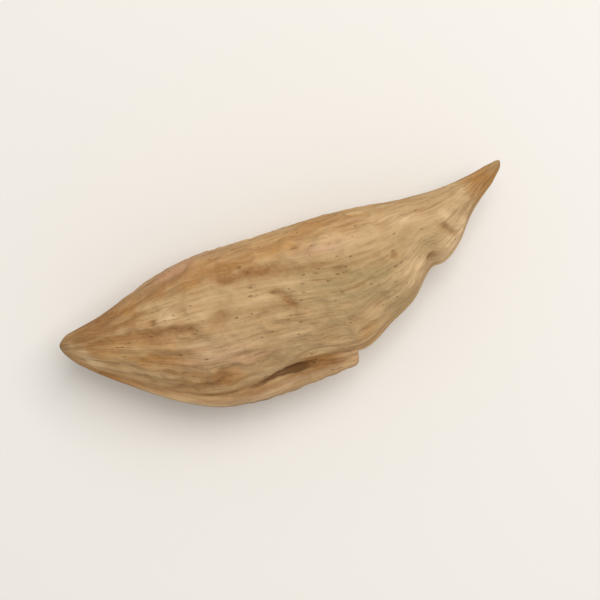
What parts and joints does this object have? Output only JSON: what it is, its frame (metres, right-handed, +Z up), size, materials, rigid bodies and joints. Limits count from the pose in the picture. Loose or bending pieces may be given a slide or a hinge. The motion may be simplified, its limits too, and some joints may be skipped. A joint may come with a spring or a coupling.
{
  "type": "almond in shell",
  "caption": "Whole in-shell almond lying on its cheek: pointed apex, oblique stem end with a beak, furrowed and netted shell, keel edge split open with a free lip.",
  "frame": {"origin": "centre of the nut's box in plan, at the level it rests on", "axes": "+X from the pointed apex to the stem end, +Y towards the back edge, -Y towards the split keel edge, +Z up through the upper cheek"},
  "size_m": [0.04, 0.0138, 0.0106],
  "materials": {
    "almond_shell": "dry, matt, fibrous straw-tan shell"
  },
  "bodies": {
    "root": {"almond": "almond_shell"}
  },
  "joints": []
}
